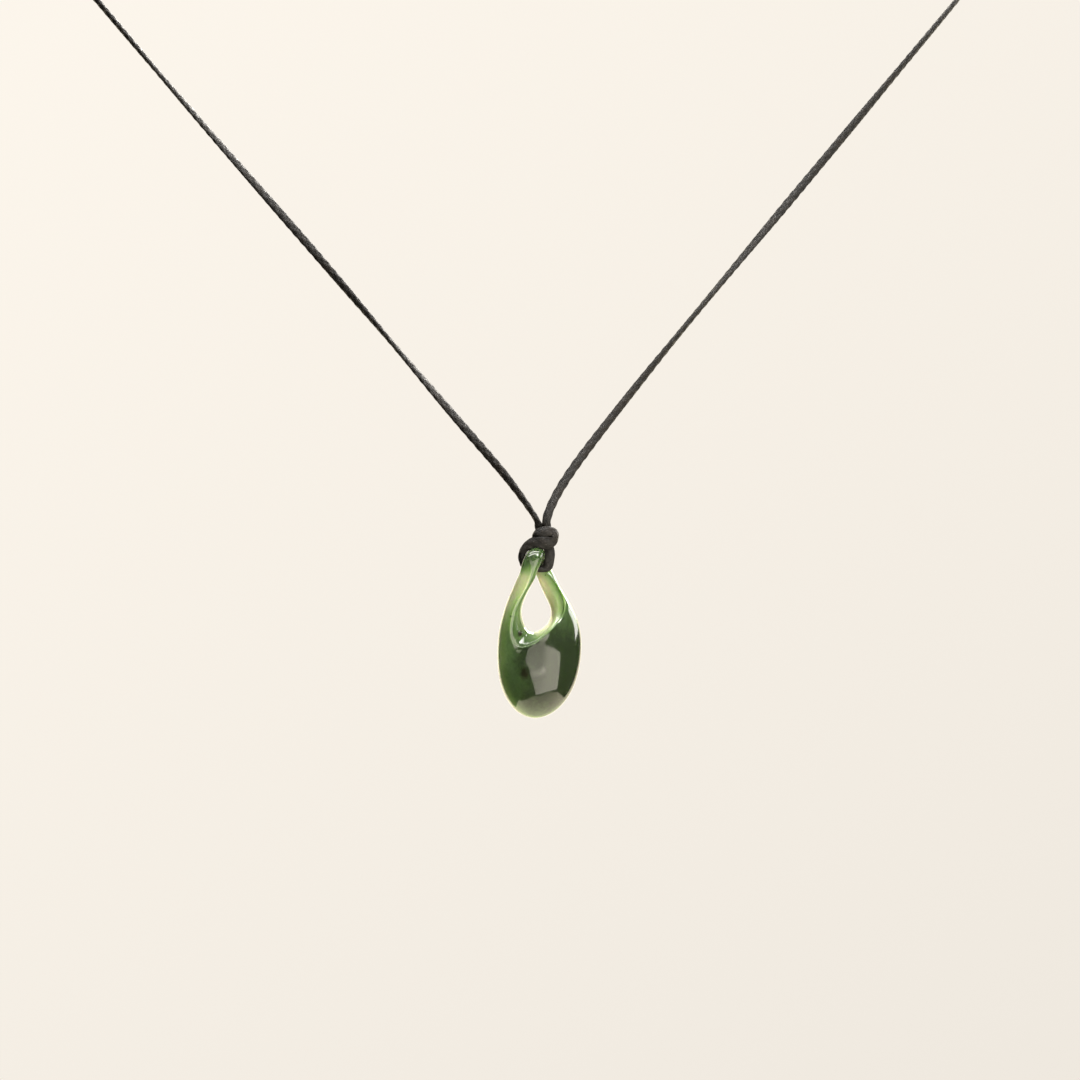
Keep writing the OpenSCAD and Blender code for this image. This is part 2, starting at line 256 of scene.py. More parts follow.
# The stage, in metres
CAMERA_PLACE = (0.0, -0.662, -0.14605)
FLOOR_Z, FLOOR_RADIUS, BEND_RADIUS = -1.3, 1.5, 0.9
BACKDROP_SIDES = 96
# The point of the stone that the lights face, and their distance from it
LIT_POINT = np.array([0.0, -0.127, -0.167])
LIGHT_FAR = 1.2
# Lights: azimuth and elevation in degrees, width and height, the setting of their
# brightness and a factor on it
LIGHTS = [
    ("top_light", 180, 82, 1.3, 0.1, "top_light", 1),
    ("rear_light", 162, 40, 0.8, 0.4, "top_light", 1),
    ("ridge_light", 0, 74, 1.9, 0.26, "right_light", 1.2),
    ("side_light", 42, 54, 0.34, 0.4, "right_light", 2),
    ("right_light", 108, 16, 0.56, 0.2, "right_light", 1),
    ("streak_light", 142, 20, 0.6, 0.34, "right_light", 1),
]
# Watts for a brightness of 1 on a square metre
LIGHT_POWER = 4
LAMP_COLOUR, PANEL_COLOUR = (1.0, 0.97, 0.93), (1.0, 0.92, 0.78)
PAPER_COLOUR, ROOM_COLOUR, ROOM_LIGHT = (1.0, 0.89, 0.66), (1.0, 0.97, 0.92), 0.6

# Outline of the softbox, as azimuth and elevation in degrees seen from the lit point
SOFTBOX = [
    (-28, 31), (-20, 30), (-16, 28), (-12, 26), (-6, 24.6), (0, 24), (10, 23.8), (20, 24),
    (26, 23.7), (38, 22.8), (52, 19.8), (63, 15.5), (64, -5), (67, -20), (77, -37),
    (55, -43), (36, -46), (19, -49), (4, -51), (0, -35), (-2, -20), (-6, -4), (-9, 8),
    (-14, 14), (-21, 18), (-28, 26),
]
# Its middle and its brightest spot in the same degrees, and that spot's radius in metres
SOFTBOX_MIDDLE, HOT_SPOT, HOT_RADIUS = (28, -12), (5, 1), 0.28

# Edges of the lit paper, as the stone sees it: across * x + along * y + edge is more than
# 0. Then its highest place and the softness of its edges
SWEEP_EDGES = [
    (1.0, 0.0, 0.87), (0.73, 0.68, 0.55), (0.0, 1.0, 0.74), (-0.76, 0.65, 1.01),
    (-1.0, 0.0, 1.25),
]
SWEEP_TOP, SWEEP_SOFT = 1.5, 0.05


# Settings

def length_setting(name, description, default, low, high):
    """A size in metres."""
    return FloatProperty(
        name=name, description=description, default=default, min=low, max=high,
        unit="LENGTH", precision=6)


def colour_setting(name, description, default):
    """A colour, without alpha."""
    return FloatVectorProperty(
        name=name, description=description, default=default, min=0, max=1, size=3,
        subtype="COLOR")


class CordSettings(bpy.types.PropertyGroup):
    """Sizes and colours of the braided cord and its knots."""

    width: length_setting("Width", "Wide side of the flat braid", 0.00162, 0.0012, 0.002)
    thickness: length_setting(
        "Thickness", "Thin side of the flat braid", 0.00102, 0.0008, 0.0015)
    plait: length_setting(
        "Plait length", "Length of one plait along the cord", 0.0024, 0.001, 0.005)
    strands: IntProperty(
        name="Strands", description="Strands that run each way round the braid",
        default=4, min=2, max=8)
    relief: length_setting(
        "Relief", "Height of the plaits over their grooves", 0.0002, 0.0, 0.0003)
    colour: colour_setting("Colour", "Colour of the waxed fibre", (0.0052, 0.0046, 0.0039))
    # The wax colour is also the colour of glints painted on the crowns of the plaits
    wax: colour_setting("Wax", "Colour of the wax that stays on the plaits", (0.12, 0.11, 0.10))


class StoneSettings(bpy.types.PropertyGroup):
    """Finish and colours of the carved stone."""

    belly: length_setting(
        "Belly", "How far the body swells at the front and the back", 0.0024, 0.001, 0.003)
    edge: length_setting(
        "Edge rounding", "Width of the rounding along the carved edges",
        0.0008, 0.00005, 0.001)
    # The rim colour and the pale colour are partly painted light that shines through thin stone,
    # and the rim colour also paints the ridge highlights and pale rims of light
    thin_colour: colour_setting(
        "Rim colour", "Colour where the stone is thinnest", (0.74, 0.72, 0.55))
    pale_colour: colour_setting(
        "Pale colour", "Colour of the palest parts of the arms", (0.48, 0.475, 0.30))
    arm_colour: colour_setting(
        "Arm colour", "Colour of the light green parts of the arms", (0.28, 0.365, 0.175))
    green_colour: colour_setting(
        "Green", "Colour where the arms run into the body", (0.145, 0.24, 0.080))
    deep_colour: colour_setting(
        "Deep green", "Colour near the edge of the body", (0.062, 0.112, 0.040))
    body_colour: colour_setting(
        "Body colour", "Colour of the thick body", (0.0175, 0.0285, 0.0125))
    roughness: FloatProperty(
        name="Roughness", description="Roughness of the polish",
        default=0.07, min=0, max=1, subtype="FACTOR")


class StageSettings(bpy.types.PropertyGroup):
    """Floor, light and camera."""

    backdrop: colour_setting(
        "Backdrop", "Colour of the floor and the backdrop", (0.93, 0.875, 0.795))
    softbox: FloatProperty(
        name="Softbox", description="Brightness of the front softbox",
        default=3.9, min=0, max=50)
    top_light: FloatProperty(
        name="Top light", description="Brightness of the lights above and behind",
        default=18.0, min=0, max=100)
    right_light: FloatProperty(
        name="Right light", description="Brightness of the lights at the right and in front",
        default=7.0, min=0, max=100)
    backlight: FloatProperty(
        name="Backlight", description="Brightness of the lit paper behind the pendant",
        default=1.5, min=0, max=10)
    dim: FloatProperty(
        name="Dim room", description="Brightness of the room in front of the pendant",
        default=0.05, min=0, max=10)
    lens: FloatProperty(
        name="Focal length", description="Focal length of the camera in millimetres",
        default=100, min=20, max=300)


# Meshes

def toward(azimuth, elevation):
    """A unit direction: azimuth 0 looks to the front and grows to the right."""
    a, e = math.radians(azimuth), math.radians(elevation)
    return np.array([math.cos(e) * math.sin(a), -math.cos(e) * math.cos(a), math.sin(e)])


def new_object(name, data):
    """An object at the origin, in place of the one that an earlier run made."""
    old = bpy.data.objects.get(name)
    if old is not None:
        bpy.data.objects.remove(old, do_unlink=True)
    made = bpy.data.objects.new(name, data)
    bpy.context.scene.collection.objects.link(made)
    return made


def new_mesh_object(name, points, faces):
    """A smooth object with a mesh of these points and faces."""
    mesh = bpy.data.meshes.new(name)
    mesh.from_pydata(points, [], faces)
    mesh.validate()
    mesh.shade_smooth()
    return new_object(name, mesh)


def smoothstep(values):
    v = np.clip(values, 0.0, 1.0)
    return v * v * (3 - 2 * v)


def unit(vectors):
    return vectors / np.linalg.norm(vectors, axis=-1, keepdims=True)


def blend(a, b, c, d, f):
    """Uniform cubic spline between b and c."""
    return (
        a * (1 - f) ** 3
        + b * (3 * f**3 - 6 * f**2 + 4)
        + c * (-3 * f**3 + 3 * f**2 + 3 * f + 1)
        + d * f**3
    ) / 6


# Cord routes

def loop_point(u):
    """Points of the whole closed cord at the stations u."""
    u = np.asarray(u, float)
    i = np.floor(u).astype(int)
    f = (u - i)[:, None]
    n = len(LOOP)
    return blend(*(LOOP[(i + k) % n] for k in (-1, 0, 1, 2)), f)


def even_stations(start, end, step):
    """Stations from start to end about step metres apart, and their distances."""
    u = np.linspace(start, end, ROUTE_SAMPLES)
    gone = np.r_[0, np.cumsum(np.linalg.norm(np.diff(loop_point(u), axis=0), axis=1))]
    count = max(2, round(gone[-1] / step)) + 1
    along = np.linspace(0, gone[-1], count)
    return np.interp(along, gone, u), along


def headings(points):
    return unit(np.gradient(points, axis=0))


def faced(points, facing):
    """Unit directions of the wide side (across) and the thin side (lift) of a strand
    whose flat face looks along facing."""
    ahead = headings(points)
    lift = unit(facing - ahead * (facing * ahead).sum(1, keepdims=True))
    return np.cross(lift, ahead), lift


def turned_facing(points, degrees):
    """The front direction turned about the route by these angles."""
    ahead = headings(points)
    across = unit(np.cross(ahead, [0.0, 1.0, 0.0]))
    lift = np.cross(across, ahead)
    turn = np.radians(degrees)[:, None]
    return lift * np.cos(turn) + across * np.sin(turn)


def loop_plait(settings):
    """The plait length that fits the whole loop in whole plaits, and how far along the
    loop the neck cord starts."""
    _, hitch = even_stations(0, HITCH_END, LENGTH_STEP)
    _, neck = even_stations(HITCH_END, len(LOOP), LENGTH_STEP)
    total = hitch[-1] + neck[-1]
    return total / round(total / settings.plait), hitch[-1]


# Geometry nodes

class NodeSheet:
    """Short calls for adding and linking nodes in a tree."""

    def __init__(self, tree):
        self.tree = tree
        self.count = 0

    def fill(self, node, inputs):
        """Links or sets a node's inputs."""
        for key, value in inputs.items():
            if isinstance(value, bpy.types.NodeSocket):
                self.tree.links.new(value, node.inputs[key])
            else:
                node.inputs[key].default_value = value

    def node(self, kind, inputs=None, **settings):
        """A new node, in rows of twelve."""
        made = self.tree.nodes.new(kind)
        made.location = (self.count % 12 * 180, -(self.count // 12) * 240)
        self.count += 1
        for key, value in settings.items():
            setattr(made, key, value)
        self.fill(made, inputs or {})
        return made

    def math(self, operation, *values):
        made = self.node("ShaderNodeMath", dict(enumerate(values)), operation=operation)
        return made.outputs[0]

    def plus(self, a, b):
        return self.math("ADD", a, b)

    def minus(self, a, b):
        return self.math("SUBTRACT", a, b)

    def times(self, a, b):
        return self.math("MULTIPLY", a, b)

    def over(self, a, b):
        return self.math("DIVIDE", a, b)

    def vector(self, operation, *values):
        made = self.node("ShaderNodeVectorMath", dict(enumerate(values)), operation=operation)
        return made.outputs["Value" if operation in ("DISTANCE", "LENGTH") else "Vector"]

    def scaled(self, vector, scale):
        made = self.node("ShaderNodeVectorMath", {0: vector, "Scale": scale}, operation="SCALE")
        return made.outputs["Vector"]


def node_group(kind, name, inputs, outputs):
    """A new node group and its sheet, or None for the sheet where the group is there."""
    if name in bpy.data.node_groups:
        return bpy.data.node_groups[name], None
    tree = bpy.data.node_groups.new(name, kind)
    for side, sockets in (("INPUT", inputs), ("OUTPUT", outputs)):
        for label, what, *value in sockets:
            made = tree.interface.new_socket(label, in_out=side, socket_type="NodeSocket" + what)
            if value:
                made.default_value = value[0]
    return tree, NodeSheet(tree)


def named(s, name, kind="FLOAT"):
    made = s.node("GeometryNodeInputNamedAttribute", {"Name": name}, data_type=kind)
    return made.outputs["Attribute"]


def plaits(s, gone, turn):
    """Height of the plaits, and the place across the strand that is on top. Two families
    of strands cross, and each goes over and under the other in turn."""
    ways = (s.plus(gone, turn), s.minus(gone, turn))
    heights, places = [], []
    for mine, other, swing in (
            (ways[0], ways[1], STRAND_SWING), (ways[1], ways[0], -STRAND_SWING)):
        place = s.minus(s.math("FRACT", mine), 0.5)
        wide = s.over(place, STRAND_HALF)
        crown = s.math("SQRT", s.math("MAXIMUM", s.minus(1.0, s.times(wide, wide)), 0.0))
        phase = s.plus(s.minus(other, 0.5), s.math("FLOOR", mine))
        wave = s.math("COSINE", s.times(phase, math.pi))
        heights.append(s.times(crown, s.plus(STRAND_MEAN, s.times(wave, swing))))
        places.append(place)
    first = s.math("GREATER_THAN", *heights)
    yarn = s.node("ShaderNodeMix", {0: first, 2: places[1], 3: places[0]}, data_type="FLOAT")
    return s.math("MAXIMUM", *heights), yarn.outputs[0]


def section_offset(s, around, plait, relief):
    """Way from the middle of the cord to its surface. The section is an oval, and the
    plaits stand out along its own normal."""
    angle = s.times(around, 2 * math.pi)
    cosine, sine = s.math("COSINE", angle), s.math("SINE", angle)
    half_width, half_thick = named(s, "half_width"), named(s, "half_thick")
    across, lift = named(s, "across", "FLOAT_VECTOR"), named(s, "lift", "FLOAT_VECTOR")
    oval, normal = (
        s.vector("ADD", s.scaled(across, s.times(cosine, a)), s.scaled(lift, s.times(sine, b)))
        for a, b in ((half_width, half_thick), (half_thick, half_width)))
    stand = s.times(s.minus(plait, PLAIT_LEVEL), relief)
    return s.vector("ADD", oval, s.scaled(s.vector("NORMALIZE", normal), stand))


def braid_tree():
    """Sweeps a flat braid along a line whose points carry its directions and sizes."""
    tree, s = node_group(
        "GeometryNodeTree", "Flat Braid",
        [("Line", "Geometry"), ("Sides", "Int", 32), ("Plait Length", "Float", 0.0024),
         ("Strands", "Int", 4), ("Relief", "Float", 0.0001), ("Material", "Material")],
        [("Braid", "Geometry")])
    if s is None:
        return tree
    given = s.node("NodeGroupInput").outputs

    rail = s.node("GeometryNodeMeshToCurve", {"Mesh": given["Line"]})
    ring = s.node("GeometryNodeCurvePrimitiveCircle", {
        "Resolution": given["Sides"], "Radius": 1.0})
    share = s.node("GeometryNodeSplineParameter")
    keep = s.node(
        "GeometryNodeCaptureAttribute", {"Geometry": ring.outputs["Curve"]}, domain="POINT")
    keep.capture_items.new("FLOAT", "Around")
    s.fill(keep, {"Around": share.outputs["Factor"]})
    around = keep.outputs["Around"]
    tube = s.node("GeometryNodeCurveToMesh", {
        "Curve": rail.outputs["Curve"], "Profile Curve": keep.outputs["Geometry"],
        "Fill Caps": True})

    gone = s.over(named(s, "along"), given["Plait Length"])
    plait, yarn = plaits(s, gone, s.times(around, given["Strands"]))
    offset = section_offset(s, around, plait, given["Relief"])
    place = s.vector("ADD", named(s, "centre", "FLOAT_VECTOR"), offset)
    out = s.node("GeometryNodeSetPosition", {
        "Geometry": tube.outputs["Mesh"], "Position": place}).outputs["Geometry"]
    for label, value in (("plait", plait), ("yarn", yarn)):
        out = s.node(
            "GeometryNodeStoreNamedAttribute", {"Geometry": out, "Name": label, "Value": value},
            data_type="FLOAT", domain="POINT").outputs["Geometry"]
    # Only the caps have more than four corners, and they stay flat
    corners = s.node("GeometryNodeInputMeshFaceNeighbors").outputs["Vertex Count"]
    smooth = s.node(
        "FunctionNodeCompare", {"A": corners, "B": 4.5},
        data_type="FLOAT", operation="LESS_THAN").outputs["Result"]
    for kind, inputs in (
        ("GeometryNodeSetShadeSmooth", {"Shade Smooth": smooth}),
        ("GeometryNodeRealizeInstances", {}),
        ("GeometryNodeSetMaterial", {"Material": given["Material"]}),
    ):
        out = s.node(kind, {"Geometry": out, **inputs}).outputs["Geometry"]
    s.node("NodeGroupOutput", {"Braid": out})
    return tree


def braid(name, points, facing, along, half_width, half_thick, sides, plait, relief):
    """A braided strand along these points, as a plain closed mesh."""
    across, lift = faced(points, facing)
    carried = {
        "centre": points, "across": across, "lift": lift,
        "along": along, "half_width": half_width, "half_thick": half_thick,
    }
    mesh = bpy.data.meshes.new(name)
    mesh.from_pydata(points.tolist(), [(i, i + 1) for i in range(len(points) - 1)], [])
    for label, values in carried.items():
        kind, key = ("FLOAT_VECTOR", "vector") if values.ndim == 2 else ("FLOAT", "value")
        data = mesh.attributes.new(label, kind, "POINT").data
        data.foreach_set(key, np.ascontiguousarray(values, float).ravel())
    strand = new_object(name, mesh)
    modifier = strand.modifiers.new("Braid", "NODES")
    modifier.node_group = braid_tree()
    given = {
        "Sides": sides, "Plait Length": plait, "Relief": relief,
        "Strands": bpy.context.scene.pendant_cord.strands, "Material": cord_material(),
    }
    for item in modifier.node_group.interface.items_tree:
        if item.name in given:
            modifier[item.identifier] = given[item.name]
    strand.update_tag()
    evaluated = strand.evaluated_get(bpy.context.evaluated_depsgraph_get())
    made = bpy.data.meshes.new_from_object(evaluated)
    strand.modifiers.remove(modifier)
    strand.data = made
    bpy.data.meshes.remove(mesh)
    made.name = name
    for label in carried:
        made.attributes.remove(made.attributes[label])
    return strand


# Shader groups and materials

def noise(s, where, scale, detail, distortion=0.0):
    made = s.node("ShaderNodeTexNoise", {
        "Vector": where, "Scale": scale, "Detail": detail, "Distortion": distortion})
    return made.outputs["Fac"]


def map_range(s, value, low, high, to_low=0.0, to_high=1.0, kind="SMOOTHSTEP"):
    made = s.node("ShaderNodeMapRange", {
        "Value": value, "From Min": low, "From Max": high, "To Min": to_low,
        "To Max": to_high}, interpolation_type=kind)
    return made.outputs["Result"]


def mix_colour(s, share, a, b):
    """From colour a to colour b. The colours of a Mix node are its sockets 6 and 7."""
    made = s.node("ShaderNodeMix", {"Factor": share, 6: a, 7: b}, data_type="RGBA")
    return made.outputs[2]


def opaque(colour):
    return (*colour, 1.0)


def spot_group():
    """A soft-edged spot round a point of the piece, with a ragged outline."""
    tree, s = node_group(
        "ShaderNodeTree", "Spot",
        [("Position", "Vector", (0, 0, 0)), ("Centre", "Vector", (0, 0, 0)),
         ("Stretch", "Vector", (1, 1, 1)), ("Radius", "Float", 0.001),
         ("Ragged", "Float", 0.4)],
        [("Mask", "Float")])
    if s is None:
        return tree
    given = s.node("NodeGroupInput").outputs
    away = s.vector("SUBTRACT", given["Position"], given["Centre"])
    away = s.vector("MULTIPLY", away, given["Stretch"])
    far = s.over(s.vector("LENGTH", away), given["Radius"])
    wander = s.times(s.minus(noise(s, given["Position"], 1500.0, 3.0), 0.5), given["Ragged"])
    edge = s.plus(far, s.times(wander, 2.0))
    s.node("NodeGroupOutput", {"Mask": map_range(s, edge, 1.15, 0.45)})
    return tree


def grain_group():
    """Mottling at three sizes, from a cloud over the whole piece to a fine speckle."""
    tree, s = node_group(
        "ShaderNodeTree", "Mottle",
        [("Position", "Vector", (0, 0, 0)), ("Size", "Float", 0.004)],
        [("Cloud", "Float"), ("Fibre", "Float"), ("Speckle", "Float")])
    if s is None:
        return tree
    given = s.node("NodeGroupInput").outputs
    where = given["Position"]
    scale = s.over(1.0, given["Size"])
    s.node("NodeGroupOutput", {
        "Cloud": noise(s, where, scale, 3.0, 0.6),
        "Fibre": noise(s, where, s.times(scale, 5.0), 5.0, 1.5),
        "Speckle": noise(s, where, s.times(scale, 22.0), 2.0)})
    return tree


def empty_sheet(owner):
    """The sheet of a material or a world that has no nodes yet."""
    owner.use_nodes = True
    owner.node_tree.nodes.clear()
    return NodeSheet(owner.node_tree)


def start_material(name):
    """A material with one Principled shader, its sheet and that shader."""
    material = bpy.data.materials.new(name)
    s = empty_sheet(material)
    shader = s.node("ShaderNodeBsdfPrincipled")
    s.node("ShaderNodeOutputMaterial", {"Surface": shader.outputs["BSDF"]})
    return material, s, shader


def attribute(s, name):
    return s.node("ShaderNodeAttribute", attribute_name=name).outputs["Fac"]


def bump(s, strength, distance, height):
    made = s.node("ShaderNodeBump", {
        "Strength": strength, "Distance": distance, "Height": height})
    return made.outputs["Normal"]


def cord_material():
    """Waxed black fibre: painted shade in the grooves, waxy crowns, and a few pale flecks on the
    crowns that are partly wax and partly painted glints.
    """
    name = "waxed_braid"
    if name in bpy.data.materials:
        return bpy.data.materials[name]
    settings = bpy.context.scene.pendant_cord
    material, s, shader = start_material(name)
    where = s.node("ShaderNodeTexCoord").outputs["Object"]
    mottle = s.node(
        "ShaderNodeGroup", {"Position": where, "Size": CORD_MOTTLE},
        node_tree=grain_group()).outputs
    base = tuple(settings.colour)
    groove_shade = tuple(GROOVE_PAINTED_SHADE * c for c in base)
    brown = tuple(share * c for share, c in zip(BROWN_SHADE, base))
    # Painted shade: the colour darkens from the crowns of the plaits down into the grooves
    height = map_range(s, attribute(s, "plait"), 0.45, 0.85)
    colour = mix_colour(s, height, opaque(groove_shade), opaque(base))
    colour = mix_colour(s, map_range(s, mottle["Cloud"], 0.45, 0.72), colour, opaque(brown))
    # Pale flecks on the crowns of the plaits: partly wax and partly painted glints
    wax_and_glint = s.times(map_range(s, mottle["Speckle"], 0.60, 0.74), height)
    colour = mix_colour(s, s.times(wax_and_glint, 0.6), colour, opaque(settings.wax))
    lines = s.math("SINE", s.times(attribute(s, "yarn"), 2 * math.pi * YARNS))
    rough = s.plus(s.times(lines, 0.35), mottle["Speckle"])
    s.fill(shader, {
        "Base Color": colour, "Specular IOR Level": 0.3,
        "Roughness": map_range(s, mottle["Fibre"], 0.35, 0.7, 0.66, 0.44),
        "Normal": bump(s, 0.45, 0.00006, rough)})
    return material


def stone_material():
    """Polished greenstone: pale where it is thin, dark green where it is thick. The paleness is
    partly painted light that shines through thin stone, and the palest parts glow with it.
    """
    name = "polished_greenstone"
    if name in bpy.data.materials:
        return bpy.data.materials[name]
    settings = bpy.context.scene.pendant_stone
    material, s, shader = start_material(name)
    where = s.node("ShaderNodeTexCoord").outputs["Object"]
    centred = s.node("ShaderNodeMapping", {
        "Vector": where, "Location": tuple(-STONE_FOOT)}).outputs["Vector"]
    mottle = s.node(
        "ShaderNodeGroup", {"Position": centred, "Size": STONE_MOTTLE},
        node_tree=grain_group()).outputs
    cloud = s.times(s.minus(mottle["Cloud"], 0.5), CLOUDS)
    fibre = s.times(s.minus(mottle["Fibre"], 0.5), FIBRES)
    level = s.plus(attribute(s, "tone"), s.plus(cloud, fibre))
    ramp = s.node("ShaderNodeValToRGB", {"Fac": level})
    stops = ramp.color_ramp.elements
    stops.remove(stops[1])
    for position, shade in TONE_COLOURS:
        stop = stops.new(position) if position > 0 else stops[0]
        stop.color = opaque(getattr(settings, shade))
    colour = ramp.outputs["Color"]
    for centre, stretch, radius, strength in SPOTS:
        spot = s.node("ShaderNodeGroup", {
            "Position": centred, "Centre": centre, "Stretch": stretch, "Radius": radius},
            node_tree=spot_group())
        mask = s.times(spot.outputs["Mask"], strength)
        colour = mix_colour(s, mask, colour, opaque(SPOT_COLOUR))
    rough = settings.roughness
    s.fill(shader, {
        "Base Color": colour, "IOR": 1.61,
        "Roughness": map_range(s, mottle["Speckle"], 0.3, 0.7, rough * 0.8, rough * 1.4),
        "Subsurface Weight": 0.85, "Subsurface Radius": (0.7, 1.0, 0.4),
        "Subsurface Scale": 0.0022, "Emission Color": opaque(SHINE_COLOUR),
        "Emission Strength": map_range(s, level, -0.2, -0.6, 0.0, SHINE),
        "Normal": bump(s, 0.05, 0.0001, mottle["Fibre"])})
    return material


# The stone

def side_row(i, belly):
    """One section as a flat row: middle, half across, front direction, then share, depth
    and crease of the front and the back, then belly, fold, two tones, a painted ridge
    highlight and a painted pale rim of light of the four quarters. The back is the front of
    the section on the other side."""
    angle, x, z, half, share, front, crease, fold = STONE_ROWS[i]
    eye, eye_ridge, ridge, outline, line, rim = STONE_TONES[i]
    other = len(STONE_ROWS) - 1 - i
    back_share, back_depth, back_crease, back_fold = STONE_ROWS[other][4:]
    back_eye, back_eye_ridge, back_ridge, back_outline, back_line, back_rim = STONE_TONES[other]
    back = -back_depth
    middle = (front + back) / 2
    swell = belly * min(max((half - SWELL_FROM) / SWELL_SPAN, 0), 1) ** SWELL_POWER
    turn = math.radians(angle)
    return [
        x, middle, z, half * math.cos(turn), 0, half * math.sin(turn), 0, -1, 0,
        share, middle - front, crease, back_share, back - middle, back_crease,
        0, fold, eye, eye_ridge, line, 0,
        swell, 0, outline, ridge, line, rim,
        swell, 0, back_outline, back_ridge, back_line, back_rim,
        0, back_fold, back_eye, back_eye_ridge, back_line, 0,
    ]


def turned_row(r):
    """The same section as the other end of the ring meets it."""
    front, back = r[FRONT_AT:BACK_AT], r[BACK_AT:QUARTERS_AT]
    back_quarters = QUARTERS_AT + 2 * QUARTER_VALUES
    return [
        *r[:3], *(-v for v in r[3:FRONT_AT]),
        1 - back[0], *back[1:], 1 - front[0], *front[1:],
        *r[back_quarters:], *r[QUARTERS_AT:back_quarters],
    ]


def arch_row(i):
    """One section of the bridge that carries the front arm over into the back arm."""
    turn = math.pi * (i / (len(ARCH_HALF) - 1))
    middle, thick = (ARCH_IN + ARCH_OUT) / 2, (ARCH_OUT - ARCH_IN) / 2
    over = (1 - math.cos(turn)) / 2
    back = -math.copysign(abs(math.cos(turn)) ** ARCH_BEND, math.cos(turn))
    up = math.sin(turn) ** ARCH_BEND
    slope = 2 / ARCH_BEND - 1
    tone = ARCH_TONES[i]
    return [
        ARCH_X[i], middle * back, HOLE_Z + middle * up, -ARCH_HALF[i], 0, 0,
        0, math.copysign(abs(back) ** slope, back), up**slope,
        ARCH_SHARE + (1 - 2 * ARCH_SHARE) * over, thick, -ARCH_SQUARE * math.sin(turn),
        0.5, thick, 0,
        *([0, 0, tone, tone, 0, 0] * 4),
    ]


def ring_rows(belly):
    last = len(STONE_ROWS) - 1
    bottom = last // 2
    rows = [side_row(i, belly) for i in range(bottom, -1, -1)]
    rows += [arch_row(i) for i in range(len(ARCH_HALF))]
    rows += [turned_row(side_row(i, belly)) for i in range(last, bottom, -1)]
    return rows


def quarter_points(r, q, edge):
    """Points and tones of one quarter of every section. Quarters 0 and 1 are the front at
    the eye and at the outline, and 2 and 3 are the back at the outline and at the eye."""
    middle, across, front = r[..., 0:3], r[..., 3:6], unit(r[..., 6:9])
    face = FRONT_AT if q < 2 else BACK_AT
    share, depth, crease = (r[..., face + k] for k in range(3))
    swell, fold, edge_tone, ridge_tone, ridge_highlight_paint, rim_light_paint = (
        r[..., QUARTERS_AT + QUARTER_VALUES * q + k] for k in range(QUARTER_VALUES))
    ridge = 1 - 2 * share
    end = -1.0 if q in (0, 3) else 1.0
    length = np.abs(end - ridge) * np.linalg.norm(across, axis=2)

    # The angle t goes from 0 at the edge to a right angle at the ridge, and s is the share
    # of the way from the ridge to the edge
    v = (np.arange(QUARTER) / QUARTER)[None, :]
    t = math.pi / 2 * (1 - (1 - v) ** CROWD if q % 2 == 0 else 1 - v**CROWD)
    s = np.cos(t)
    away = math.pi / 2 - t
    soft = np.minimum(edge / np.maximum(length, 1e-3), MOST_ROUND)
    flat = (soft + away**2 / soft) / 2
    near = away < soft
    line = np.where(near, 1 - 2 * flat / math.pi, t / (math.pi / 2))
    bulge = swell * SWELL_TOP * np.sin(t) ** 2 * np.where(near, flat, s)
    step = np.minimum(s / FOLD_STEP, 1) ** 2
    cut = fold * step * np.clip((FOLD_END - s) / (FOLD_END - FOLD_STEP), 0, 1)
    out = depth * ((1 - crease) * np.sin(t) + crease * line) + bulge - cut
    sign = 1 if q < 2 else -1
    place = ridge + (end - ridge) * s
    points = middle + across * place[..., None] + sign * front * out[..., None]
    # Painted light: a highlight painted along the ridge and a pale rim of light painted along the
    # outline
    pale = ridge_highlight_paint * np.exp(-(s * length / RIDGE_HIGHLIGHT_WIDTH) ** 2)
    pale = pale + rim_light_paint * np.exp(-(1 - s) * length / RIM_LIGHT_WIDTH)
    return points, (ridge_tone + (edge_tone - ridge_tone) * s) * (1 - pale)


def stone_points(belly, edge):
    """Points of the stone, rings by points round a section, in millimetres, and their
    tones."""
    rows = ring_rows(belly)
    table = np.array(
        [turned_row(rows[-1])] + rows + [turned_row(row) for row in rows[:2]], float)
    u = np.arange(RINGS) * len(rows) / RINGS
    i = np.floor(u).astype(int)
    r = blend(*(table[i + k] for k in range(4)), (u - i)[:, None])[:, None, :]
    points, tones = zip(*(quarter_points(r, q, edge) for q in range(4)))
    return np.concatenate(points, 1), np.concatenate(tones, 1)


def ring_faces(rings, sides):
    """Quads between the rings; the last ring meets the first half a section on."""
    i = np.arange(rings)[:, None]
    k = np.arange(sides)[None, :]
    k1 = (k + 1) % sides
    j = (i + 1) % rings
    shift = np.where(i == rings - 1, sides // 2, 0)
    corners = (
        j * sides + (k + shift) % sides, j * sides + (k1 + shift) % sides,
        i * sides + k1, i * sides + k)
    return np.stack([np.broadcast_to(x, (rings, sides)) for x in corners], -1).reshape(-1, 4)


def paint_shine_through(tone, points, faces):
    """The tones made paler where little stone lies behind a point: painted light that shines
    through thin stone.
    """
    flat = points.reshape(-1, 3)
    tree = BVHTree.FromPolygons(flat.tolist(), faces.tolist())
    middle = np.repeat(points.mean(1, keepdims=True), points.shape[1], 1).reshape(-1, 3)
    behind = np.empty(len(flat))
    for n, ((x, y, z), centre) in enumerate(zip(flat, middle)):
        way = 1.0 if y < centre[1] else -1.0
        hit = tree.ray_cast(Vector((x, y + THIN_START * way, z)), Vector((0, way, 0)))
        behind[n] = hit[3] if hit[3] is not None else 0.0
    return tone * (1 - SHINE_THROUGH_PAINT * np.exp(-behind.reshape(tone.shape) / THIN_DEPTH))


# Operators

